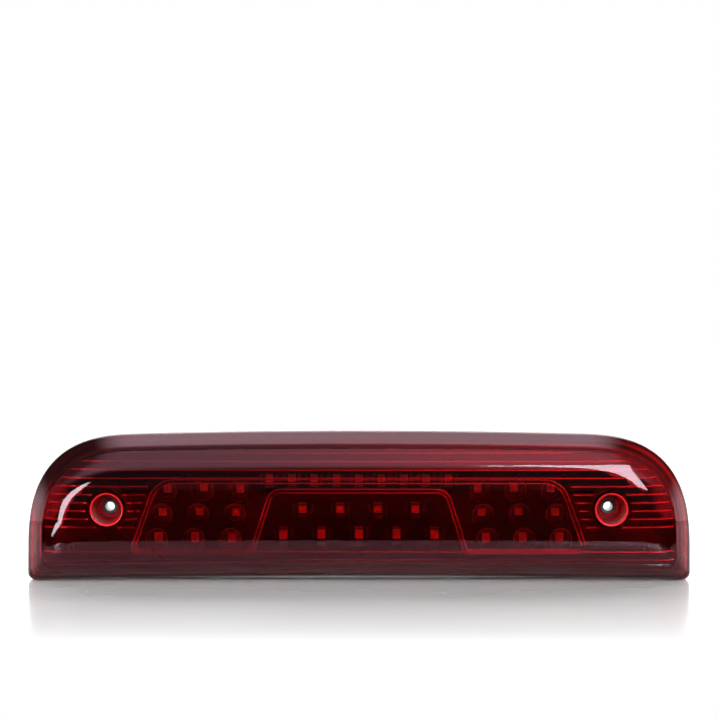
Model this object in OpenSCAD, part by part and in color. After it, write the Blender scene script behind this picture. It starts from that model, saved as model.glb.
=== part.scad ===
// Third brake light: a sealed LED lamp for the rear roof edge of a pickup cab.
// X runs along the lamp, Y runs rearwards into the cab and Z is up. The origin
// lies midway between the two screw axes, in the plane of the mounting gasket.

/* [Lens] */
// Width across the widest point of the lens
lens_w = 420; // [410:1:430]
// Height from the lower corners to the crown
lens_h = 95; // [93:0.5:97]
// How far the lens stands forward of its rim
lens_depth = 38; // [36:0.5:40]
// Wall thickness of the lens
lens_wall = 2.8; // [2.5:0.1:3]
// Height of the lower corners below the screw axes
lens_drop = 46.2; // [45.5:0.1:47]
// Exponent of the lens section: higher is squarer
lens_square = 3.2; // [2.8:0.1:3.6]

/* [Screw wells] */
// Distance between the two screw axes
screw_pitch = 316; // [312:1:320]
// Bore radius of the steel sleeve in each well
screw_hole_r = 2.9; // [2.6:0.1:3.1]
// Radius of a well at its mouth
well_mouth_r = 9.2; // [8.6:0.1:9.6]
// Radius of a well at its floor
well_floor_r = 7.2; // [6.8:0.1:7.4]

/* [Housing] */
// Depth of the tub behind the gasket plane
tub_depth = 22; // [21:0.5:24]
// Half width of the tub
tub_half_w = 138; // [137:0.5:139]
// Wall thickness of the tub
tub_wall = 2.5; // [2:0.1:2.6]
// Thickness of the foam gasket with the lamp screwed down
gasket_t = 4.5; // [4:0.1:5]

/* [Light source] */
// Side of one square LED package
led_size = 5; // [4:0.1:5]
// Spacing of the LEDs in the top strip
strip_pitch = 14.3; // [14:0.1:14.5]
// Spacing of the LEDs along each centre row
centre_pitch = 24; // [23.5:0.1:24.2]
// Spacing of the columns in each cargo group
cargo_pitch = 23.1; // [22.8:0.1:23.3]
// Spacing of the rows in each cargo group
cargo_row_pitch = 15.5; // [15.2:0.1:15.7]

/* [Hidden] */
$fn = 48;

// Lens planform: a crowned top edge, superelliptic shoulders and small square feet
half_w = lens_w / 2;
half_h = lens_h / 2;
bottom_z = -lens_drop;
top_z = bottom_z + lens_h;
mid_z = bottom_z + half_h;
crown_r = 5500;
shoulder_w = 70;
shoulder_x = half_w - shoulder_w;
shoulder_z = -30;
shoulder_square = 2.75;
foot_r = 4.5;
sill_rise = 2.2;

// Stations along Y, front to back
rim_y = -3;
lip_front_y = rim_y - 7.5;
flange_front_y = rim_y - 3.5;
groove_y = -gasket_t;
tub_back_y = tub_depth;
tub_floor_y = tub_back_y - tub_wall;
board_back_y = -2.4;
board_t = 1.6;
board_front_y = board_back_y - board_t;
led_t = 1.6;
reflector_front_y = -21;
reflector_back_y = -19.4;
bezel_base_y = -10;
bezel_top_y = -23;
bezel_t = 1.6;

// Insets of the stacked outlines from the edge of the lens
housing_inset = lens_wall + 1.2;
lip_t = 2;
gasket_in = 8;
gasket_out = 16;
bezel_inset = 10;

// Screw wells, their bosses and the seals under them
screw_x = screw_pitch / 2;
well_floor_y = -17;
well_back_y = -14;
well_wall = 2;
boss_r = well_floor_r + well_wall;
sleeve_r = 4.4;
sleeve_gap = 0.15;
sleeve_back_y = 0;
o_ring_r = 7;
o_ring_t = 1.8;

// Locating pegs on the back of the flange
peg_x = 178;
peg_z = -18;
peg_r = 3;
peg_tip_y = 8;

// Tub and its mouth
tub_z = [-28.5, 26.5];
tub_corner_r = 7;
rib_t = 1.6;
side_rib_h = 0.5;
side_ribs_at = [8, 34, 60, 86, 112];
back_rib_h = 1.8;
back_rib_z = [-19, 17];
back_ribs_at = [-118, -78, -8, 30, 68, 118];

// Raised arch over the light sources, and the window inside it
arch_bottom_w = 143.5;
arch_top_w = 127.8;
arch_z = [-27.4, 18.5];
arch_r = 16;
window_bottom_w = 65.9;
window_top_w = 53.9;
window_z = [-28, 10.5];
window_r = 7.5;
curl_r = 4;
rib_w = 2;
rib_back_y = -34.6;
bezel_over = 6;

// LED layout
strip_n = 9;
strip_z = 17;
centre_rows = [[-4.2, 4], [-19.5, 5]];
cargo_x = 101.8;
cargo_z = -5.2;
cargo_lean = 2.8;
strip_leds_at = [for (i = [0 : strip_n - 1]) [(i - (strip_n - 1) / 2) * strip_pitch, strip_z]];
centre_leds_at = [for (row = centre_rows, i = [0 : row[1] - 1])
    [(i - (row[1] - 1) / 2) * centre_pitch, row[0]]];
cargo_leds_at = [for (row = [-1 : 1], column = [-1 : 1])
    [cargo_x + column * cargo_pitch - row * cargo_lean, cargo_z + row * cargo_row_pitch]];

// Reflector cups and cells
cup_base_r = 3.8;
cup_mouth_r = 7.1;
cup_wall = 0.5;
cell_base = 6;
cell_wall = 0.7;
cell_back_y = board_front_y - 0.05;
centre_cell = [22.4, 13.6];
strip_cell = [13, 8.6];
flute_pitch = 2.6;

// Boards, their screws and what is soldered to their backs
centre_board_w = 68;
cargo_board_x = [71, 134];
board_z = [-25, 23.4];
board_screws_at = [[64.2, 19], [64.2, -21], [92, 2.5], [113.5, -13]];
board_post_r = 3.2;
screw_core_r = 1.2;
screw_head_r = 2.6;
screw_head_t = 1.6;
bezel_screws_at = [[184, -27], [150, 28]];
bezel_post_r = 4;

// Connector header in the back of the tub
header_x = -40;
header_w = 24;
header_h = 13.6;
header_wall = 1.5;
header_inner_y = 12;
header_socket_y = 14;
header_mouth_y = tub_back_y + 4;
header_flange = 3.2;
header_flange_t = 2;
pin_pitch = 6;
pin_n = 3;
pin_inner_y = 8;
pin_w = 1.5;
pin_t = 0.8;

// Vent in the back of the tub
vent_x = 90;
vent_r = 2.5;
vent_seat_r = 5.2;
vent_cap_r = 7.5;

// Leads between the header and the boards
lead_r = 0.8;
lead_sides = 8;
plug_y = 0.6;

// ---- Outlines, as [x, z] points ----

function crown(x) = top_z - x * x / (2 * crown_r);

function sill(x) = bottom_z + sill_rise * (1 - pow(x / (half_w - foot_r), 2));

function half_outline() = concat(
    [for (i = [0 : 4]) let (x = shoulder_x * i / 5) [x, crown(x)]],
    [for (i = [0 : 15]) let (
        a = 90 - 6 * i,
        x = shoulder_x + shoulder_w * pow(cos(a), 2 / shoulder_square)
    ) [x, shoulder_z + (crown(x) - shoulder_z) * pow(sin(a), 2 / shoulder_square)]],
    [for (i = [0 : 4]) let (a = -22.5 * i)
        [half_w - foot_r + foot_r * cos(a), bottom_z + foot_r + foot_r * sin(a)]],
    [for (i = [4 : -1 : 0]) let (x = (half_w - foot_r) * i / 5) [x, sill(x)]]
);

function mirrored(half) = concat(half, [for (i = [len(half) - 2 : -1 : 1]) [-half[i][0], half[i][1]]]);

// The planform drawn in by d: its height shrinks to the middle and only its shoulders narrow
function inset_point(p, d) = [
    abs(p[0]) <= shoulder_x ? p[0]
        : sign(p[0]) * (shoulder_x + (abs(p[0]) - shoulder_x) * (1 - d / shoulder_w)),
    mid_z + (p[1] - mid_z) * (1 - d / half_h)
];

function outline(d) = [for (p = mirrored(half_outline())) inset_point(p, d)];

function unit(v) = v / norm(v);

// One corner b of a polygon a-b-c, rounded to radius r
function round_corner(a, b, c, r) = r == 0 ? [b] : let (
    u = unit(a - b),
    v = unit(c - b),
    half = acos(u * v) / 2,
    o = b + unit(u + v) * r / sin(half),
    p = b + u * r / tan(half) - o,
    q = b + v * r / tan(half) - o,
    from = atan2(p[1], p[0]),
    turn = atan2(p[0] * q[1] - p[1] * q[0], p * q)
) [for (i = [0 : 5]) o + r * [cos(from + turn * i / 5), sin(from + turn * i / 5)]];

function rounded(points, radii) = let (n = len(points)) [
    for (i = [0 : n - 1])
        each round_corner(points[(i + n - 1) % n], points[i], points[(i + 1) % n], radii[i])
];

function rounded_box(x0, x1, z0, z1, r) =
    rounded([[x0, z0], [x1, z0], [x1, z1], [x0, z1]], [r, r, r, r]);

// A trapezoid on its long side, grown outwards by e
function trapezoid(bottom_w, top_w, z, r, e) = rounded(
    [[-bottom_w - e, z[0] - e], [bottom_w + e, z[0] - e], [top_w + e, z[1] + e], [-top_w - e, z[1] + e]],
    [3, 3, r + e, r + e]
);

function arch(e) = trapezoid(arch_bottom_w, arch_top_w, arch_z, arch_r, e);

function window(e) = trapezoid(window_bottom_w, window_top_w, window_z, window_r, e);

// The raised arch with the window cut from its foot, grown outwards by e
function arch_band(e) = let (
    right = [
        [window_top_w - e, window_z[1] - e, window_r - e],
        [window_bottom_w - e, arch_z[0] - e, curl_r + e],
        [arch_bottom_w + e, arch_z[0] - e, curl_r + e],
        [arch_top_w + e, arch_z[1] + e, arch_r + e]
    ],
    corners = concat(right, [for (i = [3 : -1 : 0]) [-right[i][0], right[i][1], right[i][2]]])
) rounded([for (c = corners) [c[0], c[1]]], [for (c = corners) c[2]]);

// The right-hand cargo panel, drawn in by e
function cargo_panel(e) = rounded(
    [[68 + e, arch_z[0] + e], [arch_bottom_w - e, arch_z[0] + e], [arch_top_w - 0.5 - e, arch_z[1] - e],
     [68 + e, arch_z[1] - e]],
    [2, 3, 14 - e, 2]
);

// ---- Solids from outlines ----

module slab(front, back) {
    translate([0, back, 0]) rotate([90, 0, 0]) linear_extrude(back - front) children();
}

module frame_2d(outer, inner) {
    difference() {
        polygon(outer);
        polygon(inner);
    }
}

// A round bar or cone along Y from y0 with radius r0 to y1 with radius r1
module bar(y0, y1, r0, r1 = -1) {
    translate([0, y0, 0]) rotate([-90, 0, 0])
        cylinder(h = y1 - y0, r1 = r0, r2 = r1 < 0 ? r0 : r1);
}

module at(points) {
    for (p = points) translate([p[0], 0, p[1]]) children();
}

module both_sides() {
    children();
    mirror([1, 0, 0]) children();
}

module box(x, y, z) {
    translate([x[0], y[0], z[0]]) cube([x[1] - x[0], y[1] - y[0], z[1] - z[0]]);
}

// A chip of size [x, y, z] lying on the back of a board
module chip(size) {
    translate([-size[0] / 2, board_back_y, -size[2] / 2]) cube(size);
}

// A round lead swept along a path, with its end faces square to X
function lead_ring(p, d) = let (
    side = unit(cross(d, [0, 0, 1])),
    up = cross(side, d)
) [for (i = [0 : lead_sides - 1]) let (a = 360 * i / lead_sides)
    p + lead_r * (cos(a) * side + sin(a) * up)];

module lead(path) {
    n = len(path);
    k = lead_sides;
    rings = [for (i = [0 : n - 1])
        each lead_ring(path[i], unit(path[min(i + 1, n - 1)] - path[max(i - 1, 0)]))];
    polyhedron(rings, concat(
        [[for (i = [0 : k - 1]) i], [for (i = [k - 1 : -1 : 0]) (n - 1) * k + i]],
        [for (j = [0 : n - 2], i = [0 : k - 1]) let (a = j * k + i, b = j * k + (i + 1) % k)
            each [[a, a + k, b], [b, a + k, b + k]]]
    ));
}

// Points of a smooth curve through four control points
function bezier(a, b, c, d, n) = [for (i = [0 : n]) let (t = i / n, s = 1 - t)
    s * s * s * a + 3 * s * s * t * b + 3 * s * t * t * c + t * t * t * d];

// ---- Lens ----

// Rings of a dome whose rim is drawn in by d, from the rim to the face
dome_steps = 10;
dome_end = 85;
function dome_rings(d, depth) = [for (j = [0 : dome_steps]) let (
    a = dome_end * j / dome_steps,
    t = pow(cos(a), 2 / lens_square),
    y = rim_y - depth * pow(sin(a), 2 / lens_square)
) each [for (p = outline(d + (half_h - d) * (1 - t))) [p[0], y, p[1]]]];

function band(from, n, flip) = [for (j = [0 : dome_steps - 1], i = [0 : n - 1]) let (
    a = from + j * n + i,
    b = from + j * n + (i + 1) % n
) each flip ? [[a, b, a + n], [b, b + n, a + n]] : [[a, a + n, b], [b, a + n, b + n]]];

module dome(d, depth) {
    n = len(outline(0));
    polyhedron(dome_rings(d, depth), concat(
        band(0, n, true),
        [[for (i = [n - 1 : -1 : 0]) i], [for (i = [0 : n - 1]) dome_steps * n + i]]
    ));
}

module lens_shell() {
    n = len(outline(0));
    inner = (dome_steps + 1) * n;
    polyhedron(
        concat(dome_rings(0, lens_depth), dome_rings(lens_wall, lens_depth - lens_wall)),
        concat(
            band(0, n, true),
            band(inner, n, false),
            [for (i = [0 : n - 1]) let (j = (i + 1) % n)
                each [[i, inner + i, j], [j, inner + i, inner + j]]],
            [[for (i = [0 : n - 1]) dome_steps * n + i],
             [for (i = [n - 1 : -1 : 0]) inner + dome_steps * n + i]]
        )
    );
}

// The rib on the inside of the lens along the arch and the window, trimmed to its curved face
module face_ribs() {
    intersection() {
        dome(lens_wall / 2, lens_depth - lens_wall / 2);
        slab(rim_y - lens_depth, rib_back_y) frame_2d(arch_band(0), arch_band(-rib_w));
    }
}

module outer_lens() color("#7d1420") {
    face_y = rim_y - lens_depth;
    difference() {
        union() {
            lens_shell();
            face_ribs();
            at([[-screw_x, 0], [screw_x, 0]])
                bar(face_y + 1, well_back_y, well_mouth_r + well_wall, boss_r);
        }
        at([[-screw_x, 0], [screw_x, 0]]) {
            bar(face_y - 1, well_floor_y, well_mouth_r, well_floor_r);
            bar(well_floor_y - 1, well_back_y + 1, sleeve_r + sleeve_gap);
        }
    }
}

module lens_sealant() color("#2b2a2a") {
    slab(lip_front_y + 0.8, rim_y - 0.6)
        frame_2d(outline(lens_wall + 0.2), outline(housing_inset - 0.05));
}

// ---- Housing ----

module tub_outline(d) {
    polygon(rounded_box(-tub_half_w + d, tub_half_w - d, tub_z[0] + d, tub_z[1] - d, tub_corner_r - d));
}

module tub_ribs() {
    both_sides() for (x = side_ribs_at)
        box([x - rib_t / 2, x + rib_t / 2], [flange_front_y + 1, tub_back_y - 3],
            [tub_z[0] - side_rib_h, tub_z[1] + side_rib_h]);
    both_sides() for (z = [-8, 8])
        box([tub_half_w - 1, screw_x], [rim_y - 1, rim_y + 1.5], [z - rib_t / 2, z + rib_t / 2]);
    for (x = back_ribs_at)
        box([x - rib_t / 2, x + rib_t / 2], [tub_floor_y, tub_back_y + back_rib_h], back_rib_z);
    for (z = back_rib_z)
        box([back_ribs_at[0], -back_ribs_at[0]], [tub_floor_y, tub_back_y + back_rib_h],
            [z - rib_t / 2, z + rib_t / 2]);
}

module rear_housing() color("#1d1d1f") {
    difference() {
        union() {
            slab(flange_front_y, rim_y) polygon(outline(housing_inset));
            slab(lip_front_y, flange_front_y + 0.5)
                frame_2d(outline(housing_inset), outline(housing_inset + lip_t));
            slab(flange_front_y, tub_back_y) tub_outline(0);
            tub_ribs();
            at([[-screw_x, 0], [screw_x, 0]]) {
                bar(well_back_y + 0.1, flange_front_y + 1, boss_r);
                bar(rim_y - 1, rim_y + 1, boss_r + 1);
            }
            both_sides() at(bezel_screws_at) bar(bezel_base_y + bezel_t, flange_front_y + 1, bezel_post_r);
            both_sides() at([[peg_x, peg_z]]) {
                bar(rim_y - 1, peg_tip_y - 1.5, peg_r);
                bar(peg_tip_y - 1.5, peg_tip_y, peg_r, peg_r - 1);
                bar(rim_y - 1, rim_y + 1, peg_r + 2);
            }
        }
        slab(flange_front_y - 1, tub_floor_y) tub_outline(tub_wall);
        slab(groove_y, rim_y + 1) frame_2d(outline(gasket_in), outline(gasket_out));
        at([[-screw_x, 0], [screw_x, 0]]) {
            bar(well_back_y - 1, rim_y + 2, sleeve_r + sleeve_gap);
            difference() {
                bar(well_back_y, well_back_y + o_ring_t, o_ring_r + o_ring_t / 2 + 0.2);
                bar(well_back_y - 1, well_back_y + o_ring_t + 1, o_ring_r - o_ring_t / 2 - 0.2);
            }
        }
        both_sides() at(bezel_screws_at) bar(bezel_base_y, rim_y - 1, screw_core_r);
        at([[header_x, 0]]) slab(tub_floor_y - 1, tub_back_y + 2) header_outline(0.3);
        at([[header_x, 0]]) slab(tub_back_y - 1.2, tub_back_y + 2) header_outline(header_flange);
        at([[vent_x, 0]]) {
            bar(tub_floor_y - 1, tub_back_y + 2, vent_r);
            bar(tub_back_y - 0.6, tub_back_y + 2, vent_seat_r);
        }
    }
    difference() {
        both_sides() at(board_screws_at) bar(board_back_y, tub_floor_y + 0.5, board_post_r);
        both_sides() at(board_screws_at) bar(board_back_y - 1, board_back_y + 12, screw_core_r);
    }
}

module mounting_gasket() color("#26282b") {
    slab(groove_y, 0) frame_2d(outline(gasket_in + 0.3), outline(gasket_out - 0.3));
}

// ---- Optics ----

module inner_bezel() color("#2a2224") {
    difference() {
        union() {
            slab(bezel_base_y, bezel_base_y + bezel_t) polygon(outline(bezel_inset));
            slab(bezel_top_y, bezel_base_y + bezel_t) polygon(arch(bezel_over));
        }
        slab(bezel_top_y + bezel_t, bezel_base_y + 2) polygon(arch(bezel_over - bezel_t));
        slab(bezel_top_y - 1, bezel_base_y + 2) {
            both_sides() polygon(cargo_panel(2));
            polygon(window(-2));
            polygon(strip_panel(1));
        }
        at([[-screw_x, 0], [screw_x, 0]]) bar(bezel_base_y - 1, bezel_base_y + 2, well_mouth_r + 3);
        both_sides() at(bezel_screws_at) bar(bezel_base_y - 1, bezel_base_y + 2, screw_core_r + 0.4);
    }
}

// A round cup that opens forwards from its LED
module cup(wall) {
    bar(reflector_front_y, cell_back_y, cup_mouth_r + wall, cup_base_r + wall);
}

module cargo_reflector() {
    difference() {
        union() {
            slab(reflector_front_y, reflector_back_y) polygon(cargo_panel(0.8));
            at(cargo_leds_at) cup(cup_wall);
        }
        at(cargo_leds_at) {
            cup(0);
            bar(reflector_front_y - 1, reflector_front_y + 0.01, cup_mouth_r);
            bar(board_front_y - 0.1, board_front_y + 1, cup_base_r);
        }
    }
}

module right_cargo_reflector() color("#6a6264") {
    cargo_reflector();
}

module left_cargo_reflector() color("#6a6264") {
    mirror([1, 0, 0]) cargo_reflector();
}

// A block between a rectangle at y0 and another at y1, each given by its full [x, z] size
module frustum(y0, size0, y1, size1) {
    corners = [[-1, -1], [1, -1], [1, 1], [-1, 1]];
    polyhedron(
        [for (end = [[y0, size0], [y1, size1]], c = corners)
            [c[0] * end[1][0] / 2, end[0], c[1] * end[1][1] / 2]],
        [[3, 2, 1, 0], [4, 5, 6, 7], [0, 1, 5, 4], [1, 2, 6, 5], [2, 3, 7, 6], [3, 0, 4, 7]]
    );
}

// A rectangular cell that opens forwards from its LED
module cell(mouth, wall, extra) {
    slope = (mouth - [cell_base, cell_base]) / (cell_back_y - reflector_front_y);
    edge = [2 * wall, 2 * wall];
    frustum(reflector_front_y - extra, mouth + edge + 2 * extra * slope,
        cell_back_y + extra, [cell_base, cell_base] + edge - 2 * extra * slope);
}

module cell_panel(panel, leds, mouth) {
    difference() {
        union() {
            slab(reflector_front_y, reflector_back_y) polygon(panel);
            at(leds) cell(mouth, cell_wall, 0);
        }
        at(leds) cell(mouth, 0, 0.1);
    }
}

module centre_reflector() color("#6a6264") {
    cell_panel(window(-0.8), centre_leds_at, centre_cell);
    for (i = [-18 : 18])
        translate([i * flute_pitch - 0.5, reflector_front_y - 0.6, 3.6]) cube([1, 0.8, 4]);
}

function strip_panel(e) = rounded_box(-66.5 + e, 66.5 - e, 11.8 + e, 22.2 - e, 1);

module strip_reflector() color("#6a6264") {
    cell_panel(strip_panel(0.1), strip_leds_at, strip_cell);
}

// ---- Boards and what they carry ----

module board(x, screws) {
    difference() {
        slab(board_front_y, board_back_y) polygon(rounded_box(x[0], x[1], board_z[0], board_z[1], 2));
        at(screws) bar(board_front_y - 1, board_back_y + 1, screw_core_r + 0.5);
    }
}

module cargo_board() {
    board(cargo_board_x, [board_screws_at[2], board_screws_at[3]]);
}

module centre_circuit_board() color("#1f5a35") {
    outer = [board_screws_at[0], board_screws_at[1]];
    board([-centre_board_w, centre_board_w], concat(outer, [for (p = outer) [-p[0], p[1]]]));
}

module right_cargo_board() color("#1f5a35") {
    cargo_board();
}

module left_cargo_board() color("#1f5a35") {
    mirror([1, 0, 0]) cargo_board();
}

// A square package with its round window standing slightly proud
module led() {
    translate([-led_size / 2, board_front_y - led_t + 0.2, -led_size / 2])
        cube([led_size, led_t - 0.2, led_size]);
    bar(board_front_y - led_t, board_front_y - led_t + 0.3, led_size * 0.4);
}

module centre_leds() color("#d9cfa0") at(centre_leds_at) led();

module strip_leds() color("#d9cfa0") at(strip_leds_at) led();

module right_cargo_leds() color("#d9cfa0") at(cargo_leds_at) led();

module left_cargo_leds() color("#d9cfa0") mirror([1, 0, 0]) at(cargo_leds_at) led();

// Where the parts on the backs of the boards lie
resistors_at = concat(
    [for (x = [-45 : 10 : 45]) [x, 16]],
    [for (side = [-1, 1], x = [96, 104, 112]) [side * x, 14]]
);
diodes_at = [[-20, -14], [20, -14], [-100, -14], [100, -14]];
regulators_at = [[-2, -15], [42, -15], [-122, 10], [122, 10]];
capacitors_at = [[32, -3], [44, 3], [-122, -8], [122, -8]];

module chip_resistors() color("#202020") at(resistors_at) chip([3.2, 0.6, 1.6]);

module polarity_diodes() color("#2c2c30") at(diodes_at) {
    chip([4.3, 2.2, 2.6]);
    chip([5.2, 0.3, 1.5]);
}

module current_regulators() color("#242428") at(regulators_at) {
    chip([6.6, 2.3, 6.1]);
    chip([5.2, 0.6, 9]);
}

module filter_capacitors() color("#b9bcc2") at(capacitors_at) {
    chip([6.6, 0.8, 6.6]);
    bar(board_back_y + 0.7, board_back_y + 6.2, 3.15);
}

// Each socket is [x of its mouth, z, which way it faces, ways]
socket_l = 8;
socket_t = 5.6;
header_plug = [10, 0, -1, 3];
sockets = [header_plug, [60, 0, 1, 2], [80, 0, -1, 2], [-60, 0, -1, 2], [-80, 0, 1, 2]];
way_pitch = 2.5;

function socket_w(ways) = ways * way_pitch + 3;

module board_sockets() color("#e6e2d6") for (s = sockets) {
    w = socket_w(s[3]);
    translate([s[0] - (s[2] > 0 ? socket_l : 0), board_back_y, s[1] - w / 2]) difference() {
        cube([socket_l, socket_t, w]);
        translate([s[2] > 0 ? 2 : -1, 1, 1]) cube([socket_l - 1, socket_t - 2, w - 2]);
    }
}

module lead_plugs() color("#efece2") for (s = sockets) {
    w = socket_w(s[3]) - 2.2;
    translate([s[0] - (s[2] > 0 ? socket_l - 2.2 : 3), board_back_y + 1.1, s[1] - w / 2])
        cube([socket_l + 0.8, socket_t - 2.2, w]);
}

// The face of a plug where its leads leave, and the z of each way
function plug_face(s) = s[0] + s[2] * 3;
function way_z(s, i) = s[1] + (i - (s[3] - 1) / 2) * way_pitch;

module supply_leads() color("#9b1c1c") for (i = [0 : pin_n - 1]) {
    start = [header_x + (i - 1) * pin_pitch, pin_inner_y, 0];
    end = [plug_face(header_plug), plug_y, way_z(header_plug, i)];
    lead(bezier(start, start + [0, -9 + 1.5 * i, 0], end - [34, -1.2 * i, 0], end, 18));
}

module jumper_leads() color("#1c1c1c") both_sides() for (i = [0, 1]) {
    from = sockets[1];
    to = sockets[2];
    start = [plug_face(from), plug_y, way_z(from, i)];
    end = [plug_face(to), plug_y, way_z(to, i)];
    lead(bezier(start, start + [4, 2.5, 0], end + [-4, 2.5, 0], end, 10));
}

// ---- Fasteners ----

// A self-tapping screw whose head bears on y and whose shank runs rearwards
module screw(y, length) {
    difference() {
        union() {
            bar(y - screw_head_t, y - screw_head_t / 2, screw_head_r - 0.5, screw_head_r);
            bar(y - screw_head_t / 2, y, screw_head_r);
            bar(y - 0.1, y + length - 1, screw_core_r - 0.05);
            bar(y + length - 1, y + length, screw_core_r - 0.05, 0.5);
        }
        for (turn = [0, 90]) rotate([0, turn, 0])
            translate([-1.5, y - screw_head_t - 1, -0.3]) cube([3, 1.9, 0.6]);
    }
}

module board_screws() color("#c9a24b") both_sides() at(board_screws_at) screw(board_front_y, 10);

module bezel_screws() color("#3a3a3c") both_sides() at(bezel_screws_at) screw(bezel_base_y, 5);

module screw_sleeves() color("#b4b8bd") at([[-screw_x, 0], [screw_x, 0]]) difference() {
    bar(well_floor_y, sleeve_back_y, sleeve_r);
    bar(well_floor_y - 1, sleeve_back_y + 1, screw_hole_r);
}

module well_o_rings() color("#17171a") at([[-screw_x, 0], [screw_x, 0]])
    translate([0, well_back_y + o_ring_t / 2, 0]) rotate([90, 0, 0])
        rotate_extrude() translate([o_ring_r, 0]) circle(o_ring_t / 2);

// ---- Connector and vent ----

module header_outline(grow) {
    w = header_w / 2 + grow;
    h = header_h / 2 + grow;
    polygon(rounded_box(-w, w, -h, h, 2.5 + grow));
}

module connector_header() color("#232326") at([[header_x, 0]]) {
    difference() {
        union() {
            slab(header_inner_y, header_mouth_y) header_outline(0);
            slab(tub_back_y, tub_back_y + header_flange_t) header_outline(header_flange);
            box([-3, 3], [tub_back_y + 1, header_mouth_y - 0.6], [header_h / 2 - 0.5, header_h / 2 + 1.6]);
        }
        slab(header_socket_y, header_mouth_y + 1) header_outline(-header_wall);
        pins(0.02);
    }
}

module pins(grow) {
    for (i = [0 : pin_n - 1]) translate([(i - 1) * pin_pitch, 0, 0])
        box([-pin_w / 2 - grow, pin_w / 2 + grow], [pin_inner_y, tub_back_y],
            [-pin_t / 2 - grow, pin_t / 2 + grow]);
}

module header_terminals() color("#c8b26a") at([[header_x, 0]]) pins(0);

module header_seal() color("#8d3b2f") at([[header_x, 0]]) slab(tub_back_y - 1.2, tub_back_y) difference() {
    header_outline(header_flange - 0.3);
    header_outline(0.9);
}

module vent_membrane() color("#f2f2f0") at([[vent_x, 0]])
    bar(tub_back_y - 0.6, tub_back_y - 0.3, vent_seat_r - 0.1);

module vent_cap() color("#2e2e31") at([[vent_x, 0]]) {
    bar(tub_back_y + 1.6, tub_back_y + 2.6, vent_cap_r);
    bar(tub_back_y + 2.6, tub_back_y + 3.2, vent_cap_r, vent_cap_r - 1);
    for (turn = [0 : 60 : 300]) rotate([0, turn, 0]) translate([vent_cap_r - 1.3, 0, 0])
        bar(tub_back_y, tub_back_y + 1.7, 1);
}

outer_lens();
rear_housing();
lens_sealant();
mounting_gasket();
inner_bezel();
centre_reflector();
strip_reflector();
left_cargo_reflector();
right_cargo_reflector();
centre_circuit_board();
left_cargo_board();
right_cargo_board();
centre_leds();
strip_leds();
left_cargo_leds();
right_cargo_leds();
chip_resistors();
polarity_diodes();
current_regulators();
filter_capacitors();
board_sockets();
lead_plugs();
supply_leads();
jumper_leads();
board_screws();
bezel_screws();
connector_header();
header_terminals();
header_seal();
vent_cap();
vent_membrane();
screw_sleeves();
well_o_rings();
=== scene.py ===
"""Looks of a sealed red brake lamp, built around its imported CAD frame.

Shapes are worked out in millimetres, in the frame's own axes, and turned into
metres as each mesh is made. X runs along the lamp, Y rearwards and Z up.
"""

import math

import bmesh
import bpy
import numpy as np
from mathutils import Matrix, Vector
from mathutils.geometry import delaunay_2d_cdt

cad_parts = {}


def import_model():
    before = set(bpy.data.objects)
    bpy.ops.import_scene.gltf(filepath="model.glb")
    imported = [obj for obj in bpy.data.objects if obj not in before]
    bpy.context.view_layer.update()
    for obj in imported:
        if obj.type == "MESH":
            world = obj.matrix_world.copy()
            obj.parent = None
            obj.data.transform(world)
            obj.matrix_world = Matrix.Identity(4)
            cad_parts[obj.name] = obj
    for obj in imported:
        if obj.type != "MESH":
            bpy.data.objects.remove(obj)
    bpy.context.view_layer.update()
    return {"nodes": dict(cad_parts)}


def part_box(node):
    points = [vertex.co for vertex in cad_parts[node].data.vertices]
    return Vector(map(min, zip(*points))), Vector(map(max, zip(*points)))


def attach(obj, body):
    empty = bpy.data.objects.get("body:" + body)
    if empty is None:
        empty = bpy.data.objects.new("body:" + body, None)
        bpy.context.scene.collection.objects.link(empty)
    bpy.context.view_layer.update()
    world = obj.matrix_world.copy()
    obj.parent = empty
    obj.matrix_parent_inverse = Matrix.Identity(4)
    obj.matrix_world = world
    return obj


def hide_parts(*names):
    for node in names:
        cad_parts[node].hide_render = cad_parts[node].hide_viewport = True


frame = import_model()

MM = 0.001


def node_box(node):
    """The lowest and highest corner of a CAD node, in millimetres."""
    low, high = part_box(node)
    return low / MM, high / MM


# ---- Lens dimensions ----

LENS_LOW, LENS_HIGH = node_box("outer_lens")
HALF_W = LENS_HIGH.x
BOTTOM_Z, TOP_Z = LENS_LOW.z, LENS_HIGH.z
HALF_H = (TOP_Z - BOTTOM_Z) / 2
MID_Z = (TOP_Z + BOTTOM_Z) / 2
RIM_Y = LENS_HIGH.y
LENS_DEPTH = RIM_Y - LENS_LOW.y
LENS_WALL = 2.8

# How square the section across the lens and the outline of its shoulders are: 2 would be an ellipse
LENS_SQUARE = 3.2
SHOULDER_SQUARE = 2.75

CROWN_R = 5500
SHOULDER_W = 70
SHOULDER_X = HALF_W - SHOULDER_W
SHOULDER_Z = -30
FOOT_R = 4.5
SILL_RISE = 2.2

# How many steps the outline takes along each of its stretches, and how finely a ring is searched for
CROWN_STEPS, SHOULDER_STEPS, FOOT_STEPS, SILL_STEPS = 32, 40, 6, 44
RING_HALVINGS = 26

# From the face outwards: the border's small step, a chamfer, a bevel and a rounded edge
BORDER = 11
BORDER_STEP = 0.25
BORDER_INNER = BORDER - BORDER_STEP
CHAMFER_W, CHAMFER_TILT = 3, 40
BEVEL_INSET, BEVEL_Y = 1.2, -24
EDGE_DEPTH = 8
EDGE_START = 20
EDGE_STEPS, DOME_STEPS = 7, 18

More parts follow.
